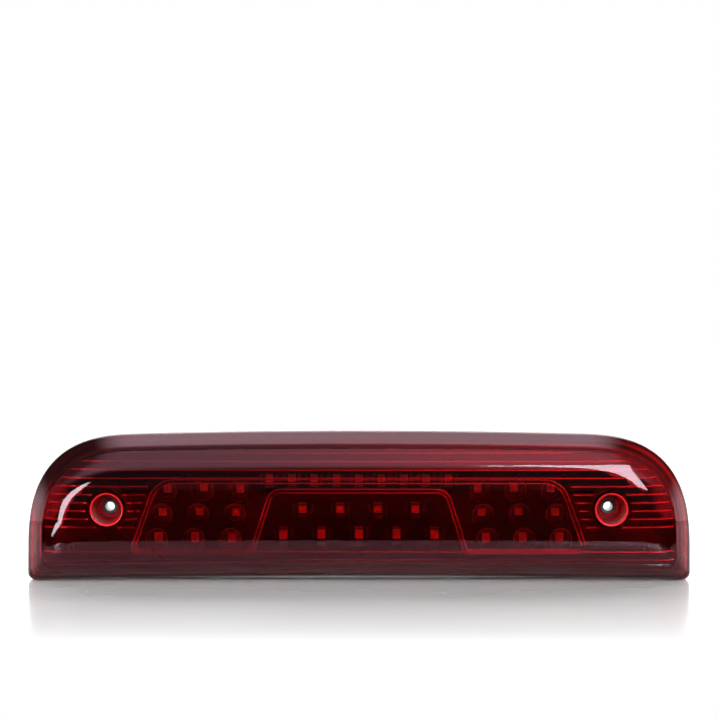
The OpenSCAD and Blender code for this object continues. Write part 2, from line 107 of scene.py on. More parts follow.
# Screw wells: a lip rounded into the face, a tapered wall, and a floor round the steel sleeve
SLEEVE_LOW, SLEEVE_HIGH = node_box("screw_sleeves")
SLEEVE_R = (SLEEVE_HIGH.z - SLEEVE_LOW.z) / 2
WELL_X = SLEEVE_HIGH.x - SLEEVE_R
WELL_FLOOR_Y = SLEEVE_LOW.y
WELL_BACK_Y = WELL_FLOOR_Y + 3
WELL_MOUTH_R = 9.2
WELL_MOUTH_Y = LENS_LOW.y + 2.5
WELL_FLOOR_R = 7.2
WELL_LIP = 1.2
WELL_RIM_R = WELL_MOUTH_R + WELL_LIP
WELL_WALL = 2
WELL_FILLET = 0.8
WELL_HOLE_R = SLEEVE_R + 0.15
WELL_SIDES = 64

# Flutes inside the face: none at the heights in DULL_Z, and only beside the arch at those in PLAIN_Z
FLUTE_PITCH = 5.1
FLUTE_ROWS = 14
FLUTE_LOW_Z = -31.6
FLUTE_HALF = 0.45
FLUTE_H = 0.5
FLUTE_END = 1.2
FLUTE_RAMP = 0.4
FLUTE_SHORTEST = 2
FLUTE_STEP = 4
FLUTE_CLEAR = 13
DULL_Z = (-25, -14)
PLAIN_Z = (-25, 18)
PLAIN_GAP = 3

# The two ridges that edge the arch, RIB_HALF to either side of its line
RIB_HALF = 1.1
RIB_STEP = 4
RIDGE_HALF = 0.36
RIDGE_H = 0.45

# Where the mesh has lines across a flute or ridge, as shares of its half width
RIDGE_SHARES = (-1.4, -1, -0.6, -0.25, 0.25, 0.6, 1, 1.4)

# The grids of mesh points over the two faces of the lens: the inner one has none at PLAIN_GRID_Z, where
# the flutes and ridges give enough
GRID_X, GRID_Z = 200, (-44, 46)
GRID_INSET = BORDER + 1.5
GRID_GAP = 0.8
OUTER_PITCH, INNER_PITCH = 2.6, 4
PLAIN_GRID_Z = (-30.5, 41)

# How a face is filled: which triangles are kept, those inside the outer loop, and what counts as one point
FILL_INSIDE, FILL_MERGE = 1, 1e-4

# The order of each piece's materials
CLEAR, GRAINED = 0, 1
BODY, PHOSPHOR, TERMINAL = 0, 1, 2


# ---- Outlines, as (x, z) points ----


def steps(start, end, count):
    """Evenly spaced values from start up to, but not at, end."""
    return [start + (end - start) * i / count for i in range(count)]


def crown(x):
    return TOP_Z - x * x / (2 * CROWN_R)


def sill(x):
    return BOTTOM_Z + SILL_RISE * (1 - (x / (HALF_W - FOOT_R)) ** 2)


def half_outline():
    """The right half of the lens planform, from the middle of the crown to the middle of the sill."""
    points = [(x, crown(x)) for x in steps(0, SHOULDER_X, CROWN_STEPS)]
    for turn in steps(90, 0, SHOULDER_STEPS) + [0]:
        a = math.radians(turn)
        x = SHOULDER_X + SHOULDER_W * math.cos(a) ** (2 / SHOULDER_SQUARE)
        rise = math.sin(a) ** (2 / SHOULDER_SQUARE)
        points.append((x, SHOULDER_Z + (crown(x) - SHOULDER_Z) * rise))
    for turn in steps(0, 90, FOOT_STEPS):
        a = math.radians(turn)
        points.append((HALF_W - FOOT_R * (1 - math.cos(a)), BOTTOM_Z + FOOT_R * (1 - math.sin(a))))
    points += [(x, sill(x)) for x in steps(HALF_W - FOOT_R, 0, SILL_STEPS)]
    return points + [(0, sill(0))]


def inset_point(x, z, inset):
    """A planform point drawn in: the height shrinks to the middle and only the shoulders narrow."""
    reach = abs(x)
    if reach > SHOULDER_X:
        reach = SHOULDER_X + (reach - SHOULDER_X) * (1 - inset / SHOULDER_W)
    return math.copysign(reach, x), MID_Z + (z - MID_Z) * (1 - inset / HALF_H)


HALF = half_outline()
PLANFORM = HALF + [(-x, z) for x, z in HALF[-2:0:-1]]


def outline(inset):
    return [inset_point(x, z, inset) for x, z in PLANFORM]


def top_edge(x):
    if x <= SHOULDER_X:
        return crown(x)
    share = min((x - SHOULDER_X) / SHOULDER_W, 1) ** SHOULDER_SQUARE
    return SHOULDER_Z + (crown(x) - SHOULDER_Z) * (1 - share) ** (1 / SHOULDER_SQUARE)


def bottom_edge(x):
    over = x - (HALF_W - FOOT_R)
    if over <= 0:
        return sill(x)
    return BOTTOM_Z + FOOT_R - math.sqrt(max(FOOT_R**2 - over**2, 0))


def ring_share(x, z, inset):
    """Which ring of the dome a point lies on: 0 in the middle, 1 at a rim drawn in by inset."""
    low, high = 0.0, 1.0
    for _ in range(RING_HALVINGS):
        share = (low + high) / 2
        drawn = inset + (HALF_H - inset) * (1 - share)
        px = abs(x)
        if px > SHOULDER_X:
            px = SHOULDER_X + (px - SHOULDER_X) / (1 - drawn / SHOULDER_W)
        pz = MID_Z + (z - MID_Z) / max(1 - drawn / HALF_H, 1e-9)
        if px <= HALF_W and bottom_edge(px) <= pz <= top_edge(px):
            high = share
        else:
            low = share
    return high


def dome_y(share, depth):
    return RIM_Y - depth * (1 - min(share, 1) ** LENS_SQUARE) ** (1 / LENS_SQUARE)


def outer_y(x, z):
    return dome_y(ring_share(x, z, 0), LENS_DEPTH) + BORDER_STEP


def plain_inner_y(x, z):
    return dome_y(ring_share(x, z, LENS_WALL), LENS_DEPTH - LENS_WALL)


def unit(x, z):
    size = math.hypot(x, z)
    return x / size, z / size


def round_corner(a, b, c, r, count=8):
    """Corner b of a polygon a-b-c, rounded to radius r."""
    ux, uz = unit(a[0] - b[0], a[1] - b[1])
    vx, vz = unit(c[0] - b[0], c[1] - b[1])
    half = math.acos(ux * vx + uz * vz) / 2
    wx, wz = unit(ux + vx, uz + vz)
    ox, oz = b[0] + wx * r / math.sin(half), b[1] + wz * r / math.sin(half)
    px, pz = b[0] + ux * r / math.tan(half) - ox, b[1] + uz * r / math.tan(half) - oz
    qx, qz = b[0] + vx * r / math.tan(half) - ox, b[1] + vz * r / math.tan(half) - oz
    start = math.atan2(pz, px)
    turn = math.atan2(px * qz - pz * qx, px * qx + pz * qz)
    angles = [start + turn * i / count for i in range(count + 1)]
    return [(ox + r * math.cos(t), oz + r * math.sin(t)) for t in angles]


def rounded(points, radii, count=8):
    made = []
    for i, r in enumerate(radii):
        made += round_corner(points[i - 1], points[i], points[(i + 1) % len(points)], r, count)
    return made


def rounded_box(cx, cz, w, h, r, count=8):
    x, z = w / 2, h / 2
    corners = [(cx - x, cz - z), (cx + x, cz - z), (cx + x, cz + z), (cx - x, cz + z)]
    return rounded(corners, [r] * 4, count)


def circle(cx, cz, r, count):
    angles = [2 * math.pi * i / count for i in range(count)]
    return [(cx + r * math.cos(t), cz + r * math.sin(t)) for t in angles]


def divided(loop, longest):
    """A closed loop with its long sides divided."""
    made = []
    for i, (x, z) in enumerate(loop):
        nx, nz = loop[(i + 1) % len(loop)]
        count = max(1, math.ceil(math.hypot(nx - x, nz - z) / longest))
        made += [(x + (nx - x) * j / count, z + (nz - z) * j / count) for j in range(count)]
    return made


def offset_loop(loop, by):
    """A closed loop moved to its left by that much."""
    made = []
    for i, (x, z) in enumerate(loop):
        ax, az = loop[i - 1]
        bx, bz = loop[(i + 1) % len(loop)]
        dx, dz = unit(bx - ax, bz - az)
        made.append((x - dz * by, z + dx * by))
    return made


# The arch over the light sources, with the window cut from its foot
ARCH_FOOT_X, ARCH_TOP_X = 143.5, 127.8
ARCH_FOOT_Z, ARCH_TOP_Z = -27.4, 18.5
WINDOW_FOOT_X, WINDOW_TOP_X, WINDOW_TOP_Z = 65.9, 53.9, 10.5
ARCH_R, WINDOW_R, CURL_R = 16, 7.5, 4


def arch_band(grow):
    """The outline of the raised arch, grown by that much."""
    right = [
        (WINDOW_TOP_X - grow, WINDOW_TOP_Z - grow, WINDOW_R - grow),
        (WINDOW_FOOT_X - grow, ARCH_FOOT_Z - grow, CURL_R + grow),
        (ARCH_FOOT_X + grow, ARCH_FOOT_Z - grow, CURL_R + grow),
        (ARCH_TOP_X + grow, ARCH_TOP_Z + grow, ARCH_R + grow),
    ]
    corners = right + [(-x, z, r) for x, z, r in reversed(right)]
    return rounded([(x, z) for x, z, _ in corners], [r for _, _, r in corners])


# ---- Meshes ----


class Build:
    """The corners, in millimetres, and the faces of one mesh."""

    def __init__(self):
        self.points = []
        self.faces = []
        self.kinds = []

    def add(self, points):
        first = len(self.points)
        self.points += points
        return list(range(first, len(self.points)))

    def ring(self, loop, y):
        """Corners along a closed loop of (x, z) points, all at that depth."""
        return self.add([(x, y, z) for x, z in loop])

    def flat(self, corners):
        """The (x, z) points of these corners."""
        return [(self.points[i][0], self.points[i][2]) for i in corners]

    def face(self, corners, kind=0):
        self.faces.append(tuple(corners))
        self.kinds.append(kind)

    def bridge(self, a, b, kind=0):
        """Quads between two closed loops of the same length."""
        for i in range(len(a)):
            j = (i + 1) % len(a)
            self.face((a[i], a[j], b[j], b[i]), kind)

    def bridge_all(self, rings):
        for a, b in zip(rings, rings[1:]):
            self.bridge(a, b)

    def fill(self, loops, lines, points, height):
        """Triangles along the given lines, inside the first of these closed loops and outside the others."""
        known = [i for loop in loops for i in loop]
        flat = self.flat(known)
        edges = []
        for loop in loops:
            first = len(edges)
            edges += [(first + i, first + (i + 1) % len(loop)) for i in range(len(loop))]
        for line, closed in lines:
            first = len(flat)
            flat += line
            edges += [(first + i, first + i + 1) for i in range(len(line) - 1)]
            if closed:
                edges.append((first + len(line) - 1, first))
        flat += points
        holes = [np.array(self.flat(loop)) for loop in loops[1:]]
        centres = [(hole.mean(0), np.linalg.norm(hole - hole.mean(0), axis=1).max()) for hole in holes]
        flat = [Vector(point) for point in flat]
        corners, _, faces, origins, _, _ = delaunay_2d_cdt(flat, edges, [], FILL_INSIDE, FILL_MERGE)
        index = []
        for corner, origin in zip(corners, origins):
            old = [i for i in origin if i < len(known)]
            if old:
                index.append(known[old[0]])
            else:
                index.append(len(self.points))
                self.points.append((corner.x, height(corner.x, corner.y), corner.y))
        for face in faces:
            middle = np.mean([corners[i] for i in face], axis=0)
            inside = [k for k, (c, r) in enumerate(centres) if np.linalg.norm(middle - c) < r]
            if not any(in_loop(middle, holes[k]) for k in inside):
                self.face([index[i] for i in face])

    def piece(self, name, materials, slot, sharp=32):
        """The finished object, riding on the lamp."""
        mesh = bpy.data.meshes.new(name)
        mesh.from_pydata([(x * MM, y * MM, z * MM) for x, y, z in self.points], [], self.faces)
        mesh.polygons.foreach_set("material_index", self.kinds)
        mesh.polygons.foreach_set("use_smooth", [True] * len(self.faces))
        piece = bpy.data.objects.new(name, mesh)
        bpy.context.scene.collection.objects.link(piece)
        for material in materials:
            mesh.materials.append(material)
        face_outwards(mesh)
        mesh.set_sharp_from_angle(angle=math.radians(sharp))
        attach(piece, "root")
        return piece


def in_loop(point, loop):
    """Is a point inside a closed loop?"""
    x, z = point
    ax, az = loop[:, 0], loop[:, 1]
    bx, bz = np.roll(ax, -1), np.roll(az, -1)
    crosses = (az > z) != (bz > z)
    with np.errstate(divide="ignore", invalid="ignore"):
        at = ax + (z - az) * (bx - ax) / (bz - az)
    return bool((crosses & (x < at)).sum() % 2)


def face_outwards(mesh):
    work = bmesh.new()
    work.from_mesh(mesh)
    bmesh.ops.recalc_face_normals(work, faces=work.faces)
    work.to_mesh(mesh)
    work.free()


# ---- Lens ----


def distance_to(loop):
    """A function giving a point's distance from a closed loop."""
    a = np.array(loop)
    b = np.roll(a, -1, axis=0)
    along = b - a
    size = (along**2).sum(1)

    def distance(x, z):
        share = np.clip((((x, z) - a) * along).sum(1) / size, 0, 1)
        return np.linalg.norm(a + along * share[:, None] - (x, z), axis=1).min()

    return distance


RIB_LINE = divided(arch_band(-RIB_HALF), RIB_STEP)
rib_distance = distance_to(RIB_LINE)


def flute_reach(z):
    """How far out a flute at that height runs."""
    border = [p for p in outline(BORDER) if p[0] > 0]
    reach = max(
        ax + (bx - ax) * (z - az) / (bz - az)
        for (ax, az), (bx, bz) in zip(border, border[1:])
        if min(az, bz) <= z <= max(az, bz) and az != bz
    )
    return reach - FLUTE_END


FLUTES = [FLUTE_LOW_Z + FLUTE_PITCH * i for i in range(FLUTE_ROWS)]
REACH = {z: flute_reach(z) for z in FLUTES}


def flute_spans(z):
    """The stretches along X that a flute runs over, clear of the wells and of the arch."""
    reach = REACH[z]
    if DULL_Z[0] < z < DULL_Z[1]:
        return []
    if not PLAIN_Z[0] < z < PLAIN_Z[1]:
        return [(-reach, reach)]
    lean = (ARCH_FOOT_X - ARCH_TOP_X) / (ARCH_TOP_Z - ARCH_FOOT_Z)
    start = ARCH_FOOT_X - lean * (z - ARCH_FOOT_Z) + PLAIN_GAP
    if abs(z) >= FLUTE_CLEAR:
        return [(-reach, -start), (start, reach)]
    gap = math.sqrt(FLUTE_CLEAR**2 - z * z)
    right = [(start, WELL_X - gap), (WELL_X + gap, reach)]
    spans = [(a, b) for a, b in right if b - a > FLUTE_SHORTEST]
    return [(-b, -a) for a, b in spans] + spans


def hump(off, half, height):
    """The height of a small rounded ridge at that distance from its crest."""
    return height * math.cos(math.pi / 2 * min(abs(off) / half, 1)) ** 2


def flute_height(x, z):
    for row in FLUTES:
        if abs(z - row) < FLUTE_HALF:
            for start, end in flute_spans(row):
                if start <= x <= end:
                    ramp = min((x - start) / FLUTE_RAMP, (end - x) / FLUTE_RAMP, 1)
                    return hump(z - row, FLUTE_HALF, FLUTE_H) * ramp
    return 0.0


def inner_y(x, z):
    relief = max(flute_height(x, z), hump(rib_distance(x, z) - RIB_HALF, RIDGE_HALF, RIDGE_H))
    return plain_inner_y(x, z) + relief


def flute_lines():
    """Lines along the flutes, beside the crest, on the slopes, at the foot and just outside it."""
    lines = []
    for row in FLUTES:
        for start, end in flute_spans(row):
            count = max(1, round((end - start) / FLUTE_STEP))
            xs = [start, start + FLUTE_RAMP]
            xs += steps(start + FLUTE_RAMP, end - FLUTE_RAMP, count)[1:]
            xs += [end - FLUTE_RAMP, end]
            for share in RIDGE_SHARES:
                lines.append(([(x, row + share * FLUTE_HALF) for x in xs], False))
    return lines


def rib_lines():
    """Lines along the two ridges that edge the arch and its window."""
    offsets = [RIB_HALF + share * RIDGE_HALF for share in RIDGE_SHARES]
    return [(offset_loop(RIB_LINE, side * by), True) for side in (-1, 1) for by in offsets]


def grid_points(border, clear, pitch):
    """A plain grid inside the border and clear of the wells."""
    loop = np.array(border)
    xs = np.arange(-GRID_X, GRID_X + 0.1, pitch)
    zs = np.arange(GRID_Z[0], GRID_Z[1] + 0.1, pitch)
    points = []
    for x in xs:
        for z in zs:
            near = math.hypot(abs(x) - WELL_X, z) < clear
            if not near and in_loop((x, z), loop):
                points.append((float(x), float(z)))
    return points


def well_rings(build, face, side):
    """One screw well, from its mouth on the face to its floor, hole and outer wall."""

    def around(r):
        return circle(side * WELL_X, 0, r, WELL_SIDES)

    def lip_ring(r, back):
        rim = around(WELL_RIM_R)
        return build.add([(x, face(rx, rz) + back, z) for (x, z), (rx, rz) in zip(around(r), rim)])

    mouth = lip_ring(WELL_RIM_R, 0)
    rings = [mouth]
    for turn in (15, 30, 45, 60, 75, 90):
        a = math.radians(turn)
        rings.append(lip_ring(WELL_MOUTH_R + WELL_LIP * (1 - math.sin(a)), WELL_LIP * (1 - math.cos(a))))
    for share in (0.05, 0.3, 0.6, 0.97):
        r = WELL_MOUTH_R + (WELL_FLOOR_R - WELL_MOUTH_R) * share
        rings.append(build.ring(around(r), WELL_MOUTH_Y + (WELL_FLOOR_Y - WELL_MOUTH_Y) * share))
    # The floor, with a low raised ring round the hole
    floor = [(WELL_FLOOR_R - 0.3, 0), (SLEEVE_R + 1.2, 0), (SLEEVE_R + 0.9, -0.3)]
    floor += [(WELL_HOLE_R + 0.1, -0.3), (WELL_HOLE_R, 0.2)]
    rings += [build.ring(around(r), WELL_FLOOR_Y + y) for r, y in floor]
    inside = len(rings)
    # Through the hole, then forwards along the outer wall to a small fillet behind the face
    foot = WELL_MOUTH_R + WELL_WALL
    wall = [(WELL_HOLE_R, WELL_BACK_Y), (WELL_FLOOR_R + WELL_WALL, WELL_BACK_Y)]
    wall += [(foot - 0.8, -24), (foot - 0.2, -34)]
    rings += [build.ring(around(r), y) for r, y in wall]
    base = around(foot + WELL_FILLET)
    heights = [plain_inner_y(x, z) for x, z in base]
    rings.append(build.add([(x, y + WELL_FILLET, z) for (x, z), y in zip(around(foot), heights)]))
    root = build.add([(x, y, z) for (x, z), y in zip(base, heights)])
    rings.append(root)
    for i, (a, b) in enumerate(zip(rings, rings[1:])):
        build.bridge(a, b, GRAINED if i < inside else CLEAR)
    return mouth, root


def round_profile(inset, depth):
    """The (inset, y) points down the side of a dome whose rim is drawn in by inset."""
    share = (1 - BORDER / HALF_H) / (1 - inset / HALF_H)
    start = math.degrees(math.acos(share ** (LENS_SQUARE / 2)))
    points = []
    for turn in steps(start, 0, DOME_STEPS) + [0]:
        part = math.cos(math.radians(turn)) ** (2 / LENS_SQUARE)
        points.append((inset + (HALF_H - inset) * (1 - part), dome_y(part, depth)))
    points[0] = (BORDER_INNER, points[0][1])
    return points


def bevel_profile():
    """The same for the outside: a chamfer off the face, a bevel, then a rounded edge down to the rim."""
    face_y = dome_y(1 - BORDER_INNER / HALF_H, LENS_DEPTH)
    fall = CHAMFER_W * math.tan(math.radians(CHAMFER_TILT))
    points = [(BORDER_INNER - CHAMFER_W * share, face_y + fall * share) for share in (0, 0.1, 0.5, 0.9)]
    start, start_y = BORDER_INNER - CHAMFER_W, face_y + fall
    for share in (0.06, 0.5, 0.94):
        points.append((start + (BEVEL_INSET - start) * share, start_y + (BEVEL_Y - start_y) * share))
    first = math.radians(EDGE_START)
    for turn in steps(EDGE_START, 90, EDGE_STEPS) + [90]:
        a = math.radians(turn)
        inset = BEVEL_INSET * (1 - math.sin(a)) / (1 - math.sin(first))
        points.append((inset, BEVEL_Y + EDGE_DEPTH * (math.cos(first) - math.cos(a))))
    return points + [(0, RIM_Y)]


def skirt(build, border_y, profile):
    """The side of one surface of the lens, from the border line on its face to its rim."""
    rings = [build.ring(outline(BORDER), border_y)]
    rings += [build.ring(outline(inset), y) for inset, y in profile]
    build.bridge_all(rings)
    return rings[0], rings[-1]


def lens(clear, grained):
    """The whole moulding: its outer and inner skirts and faces, and the two screw wells."""
    build = Build()
    outer_border, outer_rim = skirt(build, outer_y(*outline(BORDER)[0]), bevel_profile())
    inside = round_profile(LENS_WALL, LENS_DEPTH - LENS_WALL)
    inner_border, inner_rim = skirt(build, inside[0][1], inside)
    build.bridge(outer_rim, inner_rim)
    wells = [well_rings(build, outer_y, side) for side in (-1, 1)]
    mouths, roots = zip(*wells)
    border = outline(GRID_INSET)
    outer_grid = grid_points(border, WELL_RIM_R + GRID_GAP, OUTER_PITCH)
    build.fill([outer_border, *mouths], [], outer_grid, outer_y)
    inner_grid = grid_points(border, FLUTE_CLEAR, INNER_PITCH)
    inner_grid = [(x, z) for x, z in inner_grid if not PLAIN_GRID_Z[0] < z < PLAIN_GRID_Z[1]]
    build.fill([inner_border, *roots], flute_lines() + rib_lines(), inner_grid, inner_y)
    piece = build.piece("lens_moulding", [clear, grained], "smoked_red_lens")
    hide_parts("outer_lens")


# ---- Reflectors and light sources ----

LED_SIZE = 5
CARGO_LEAN = 2.8

# A reflector is a plate with a lip, and with cups or cells sunk back to the packages
PLATE_Y = -21.0
PLATE_LIP = 1.2
PLATE_WALL = 0.4
PLATE_STEP = 6
CUP_BACK_Y = node_box("centre_leds")[0].y + 1.5
CUP_R = 7.1
CENTRE_CELL, STRIP_CELL = (22.4, 13.6), (13, 8.6)
CELL_FOOT = 6

# The centre plate fills its window
CENTRE_PLATE_Z = (-27.2, 9.7)
CENTRE_PLATE_R = (2.2, 6.7)
CENTRE_PLATE_SHRINK = 1 - 0.8 / HALF_W

# Down a cup: its radius as a share of CUP_R, and its depth as a share of the whole. Down a cell: its depth
CUP_STEPS = ((1, 0), (0.94, 0.12), (0.86, 0.24), (0.84, 0.26), (0.7, 0.55), (0.68, 0.57), (0.54, 1))
CELL_STEPS = (0, 0.3, 0.32, 0.62, 0.64, 1)

# A package from its side into its pocket: its width, corner radius and distance behind the front
PACKAGE_STEPS = ((LED_SIZE, 0.3, 0.35), (4.7, 0.4, 0.1), (4.2, 1.9, 0.1), (3.5, 1.7, 0.4))

# The crown of its phosphor window: its width and distance behind the front
PHOSPHOR_STEPS = ((2.6, 0.15), (1.3, 0))
TERMINAL_X = 2.1
TERMINAL_W, TERMINAL_H, TERMINAL_TOP = 0.7, 3.4, 0.5


def led_rows(node, rows, lean=0):
    """The centres of a node's packages, from its box: rows holds each row's number, the lowest first."""
    low, high = node_box(node)
    gaps = len(rows) - 1
    pitch = (high.x - low.x - LED_SIZE - lean * gaps) / (max(rows) - 1)
    middle = (low.x + high.x) / 2
    inwards = -math.copysign(1, middle)
    made = []
    for k, count in enumerate(rows):
        z = low.z + LED_SIZE / 2 + (high.z - low.z - LED_SIZE) * k / max(gaps, 1)
        start = middle + inwards * lean * (k - gaps / 2)
        made += [(start + (i - (count - 1) / 2) * pitch, z) for i in range(count)]
    return made


CENTRE_LEDS = led_rows("centre_leds", [5, 4])
STRIP_LEDS = led_rows("strip_leds", [9])
CARGO_LEDS = {side: led_rows(side + "_cargo_leds", [3, 3, 3], CARGO_LEAN) for side in ("left", "right")}


def panel(node, plate, cups, material):
    """A thin metallised reflector. Each of its cups or cells is a list of (loop, y)."""
    build = Build()
    plate = divided(plate, PLATE_STEP)
    edge = build.ring(plate, PLATE_Y)
    lip = build.ring(plate, PLATE_Y + PLATE_LIP)
    build.bridge(lip, edge)
    mouths = []
    for cup in cups:
        rings = [build.ring(loop, y) for loop, y in cup]
        mouths.append(rings[0])
        build.bridge_all(rings)
    build.fill([edge] + mouths, [], [], lambda x, z: PLATE_Y)
    piece = build.piece(node + "_shell", [material], "reflector_smoke", 25)
    wall = piece.modifiers.new("wall", "SOLIDIFY")
    wall.thickness = PLATE_WALL * MM
    wall.offset = -1
    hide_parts(node)


def round_cup(x, z):
    """A stepped cup that opens forwards from its package."""
    depth = CUP_BACK_Y - PLATE_Y
    return [(circle(x, z, CUP_R * share, 32), PLATE_Y + depth * down) for share, down in CUP_STEPS]


def square_cell(x, z, size):
    """A rectangular cell with stepped facets, narrowing to its package."""
    rings = []
    for share in CELL_STEPS:
        w, h = (side + (CELL_FOOT - side) * share**0.8 for side in size)
        rings.append((rounded_box(x, z, w, h, 0.8, 4), PLATE_Y + (CUP_BACK_Y - PLATE_Y) * share))
    return rings


def centre_reflector(material):
    low, high = CENTRE_PLATE_Z
    corners = [(-WINDOW_FOOT_X, low), (WINDOW_FOOT_X, low), (WINDOW_TOP_X, high), (-WINDOW_TOP_X, high)]
    foot_r, top_r = CENTRE_PLATE_R
    plate = [(x * CENTRE_PLATE_SHRINK, z) for x, z in rounded(corners, [foot_r, foot_r, top_r, top_r])]
    panel("centre_reflector", plate, [square_cell(x, z, CENTRE_CELL) for x, z in CENTRE_LEDS], material)


def strip_reflector(material):
    low, high = node_box("strip_reflector")
    plate = rounded_box((low.x + high.x) / 2, (low.z + high.z) / 2, high.x - low.x, high.z - low.z, 0.9)
    panel("strip_reflector", plate, [square_cell(x, z, STRIP_CELL) for x, z in STRIP_LEDS], material)


def cargo_reflector(side, material):
    """A reflector beside the centre window, its outer edge leaning with the arch."""
    low, high = node_box(side + "_cargo_reflector")
    inner, outer = sorted((abs(low.x), abs(high.x)))
    top = outer - (ARCH_FOOT_X - ARCH_TOP_X) - 0.5
    corners = [(inner, low.z), (outer, low.z), (top, high.z), (inner, high.z)]
    plate = rounded(corners, [1.2, 2.2, 13.2, 1.2])
    plate = [(math.copysign(x, low.x), z) for x, z in plate]
    cups = [round_cup(x, z) for x, z in CARGO_LEDS[side]]
    panel(side + "_cargo_reflector", plate, cups, material)


def led_package(build, cx, cz, front, back):
    """A square package with a sloped pocket, a phosphor window and two solder terminals."""

    def square(w, r, y):
        return build.ring(rounded_box(cx, cz, w, w, r, 6), y)

    body = [square(LED_SIZE, 0.3, back)] + [square(w, r, front + y) for w, r, y in PACKAGE_STEPS]
    build.bridge_all(body)
    build.face(list(reversed(body[0])), BODY)
    inner = body[-1]
    for w, y in PHOSPHOR_STEPS:
        outer, inner = inner, square(w, w * 0.48, front + y)
        build.bridge(outer, inner, PHOSPHOR)
    build.face(inner, PHOSPHOR)
    for side in (-1, 1):
        loop = rounded_box(cx + side * TERMINAL_X, cz, TERMINAL_W, TERMINAL_H, 0.15, 2)
        foot, top = build.ring(loop, back), build.ring(loop, front + TERMINAL_TOP)
        build.bridge(foot, top, TERMINAL)
        build.face(list(reversed(foot)), TERMINAL)
        build.face(top, TERMINAL)


def led_packages(node, centres, materials):
    low, high = node_box(node)
    build = Build()
    for cx, cz in centres:
        led_package(build, cx, cz, low.y, high.y)
    piece = build.piece(node + "_packages", materials, "led_package")
    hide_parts(node)


# ---- Materials ----

# The lens plastic: the tint of its gloss, and the colour and density of what it swallows
SHEEN = (1, 0.45, 0.58, 1)
SMOKE = (0.82, 0.05, 0.14)
SMOKE_DENSITY = 700


class Finish:
    """A procedural material: a Principled shader and the node chains that vary it."""

    def __init__(self, name, colour, roughness, **sockets):
        self.material = bpy.data.materials.new(name)
        self.material.use_nodes = True
        self.tree = self.material.node_tree
        self.shader = self.tree.nodes["Principled BSDF"]
        self.shader.inputs["Base Color"].default_value = (*colour, 1)
        self.shader.inputs["Roughness"].default_value = roughness
        for socket, value in sockets.items():
            self.shader.inputs[socket.replace("_", " ")].default_value = value
        self.colour = colour
        self.roughness = roughness
        self.place = self.node("ShaderNodeTexCoord").outputs["Object"]

    def node(self, kind, **settings):
        made = self.tree.nodes.new(kind)
        for key, value in settings.items():
            setattr(made, key, value)
        return made

    def link(self, output, target):
        self.tree.links.new(output, target)

    def stretched(self, x, y, z):
        """Texture coordinates stretched along the axes."""
        mapping = self.node("ShaderNodeMapping")
        mapping.inputs["Scale"].default_value = (x, y, z)
        self.link(self.place, mapping.inputs["Vector"])
        return mapping.outputs["Vector"]

    def noise(self, scale, detail=3, place=None):
        made = self.node("ShaderNodeTexNoise")
        made.inputs["Scale"].default_value = scale
        made.inputs["Detail"].default_value = detail
        self.link(place or self.place, made.inputs["Vector"])
        return made.outputs["Fac"]

    def cells(self, scale):
        made = self.node("ShaderNodeTexVoronoi")
        made.inputs["Scale"].default_value = scale
        self.link(self.place, made.inputs["Vector"])
        return made.outputs["Distance"]

    def axes(self):
        """How far along X, Y and Z a point lies, in metres."""
        made = self.node("ShaderNodeSeparateXYZ")
        self.link(self.place, made.inputs["Vector"])
        return made.outputs

    def ranged(self, value, low, high, start=0.3, end=0.7):
        """From low, where the value is start or less, to high, where it is end or more."""
        made = self.node("ShaderNodeMapRange")
        for socket, number in (("From Min", start), ("From Max", end), ("To Min", low), ("To Max", high)):
            made.inputs[socket].default_value = number
        self.link(value, made.inputs["Value"])
        return made.outputs["Result"]

    def vary_roughness(self, value, spread):
        varied = self.ranged(value, self.roughness - spread, self.roughness + spread)
        self.link(varied, self.shader.inputs["Roughness"])

    def vary_colour(self, value, other, start=0.35, end=0.65):
        ramp = self.node("ShaderNodeValToRGB")
        ramp.color_ramp.elements[0].position = start
        ramp.color_ramp.elements[1].position = end
        ramp.color_ramp.elements[0].color = (*self.colour, 1)
        ramp.color_ramp.elements[1].color = (*other, 1)
        self.link(value, ramp.inputs["Fac"])
        self.link(ramp.outputs["Color"], self.shader.inputs["Base Color"])

    def bump(self, value, height, strength=1.0, soften=0.0):
        """Relief of that height in millimetres, on edges softened to that radius."""
        made = self.node("ShaderNodeBump")
        made.inputs["Distance"].default_value = height * MM
        made.inputs["Strength"].default_value = strength
        self.link(value, made.inputs["Height"])
        if soften:
            edge = self.node("ShaderNodeBevel", samples=4)
            edge.inputs["Radius"].default_value = soften * MM
            self.link(edge.outputs["Normal"], made.inputs["Normal"])
        self.link(made.outputs["Normal"], self.shader.inputs["Normal"])


def absorb(made):
    """Makes the lens plastic darker and redder the further light goes through it."""
    node = made.node("ShaderNodeVolumeAbsorption")
    node.inputs["Color"].default_value = (*SMOKE, 1)
    node.inputs["Density"].default_value = SMOKE_DENSITY
    made.link(node.outputs["Volume"], made.tree.nodes["Material Output"].inputs["Volume"])


def lens_red():
    made = Finish("lens_red", (0.85, 0.3, 0.33), 0.03, Transmission_Weight=1.0, IOR=1.55)
    made.shader.inputs["Specular Tint"].default_value = SHEEN
    made.vary_roughness(made.noise(160), 0.012)
    made.bump(made.noise(45, 1), 0.012)
    absorb(made)
    return made.material


def lens_red_grained_painted_shade():
    """The same plastic, grained, inside the screw wells; painted shade darkens it deeper in."""
    made = Finish("lens_red_grained_painted_shade", (0.3, 0.004, 0.005), 0.16, Transmission_Weight=0.3, IOR=1.4)
    # Painted shade: the base colour darkens from the well's mouth to its floor.
    depth = made.ranged(made.axes()["Y"], 0, 1, LENS_LOW.y * MM, WELL_FLOOR_Y * MM)
    made.vary_colour(depth, (0.15, 0.002, 0.003), 0, 1)
    made.shader.inputs["Specular Tint"].default_value = SHEEN
    made.vary_roughness(made.noise(400), 0.04)
    made.bump(made.noise(900, 2), 0.01)
    absorb(made)
    return made.material


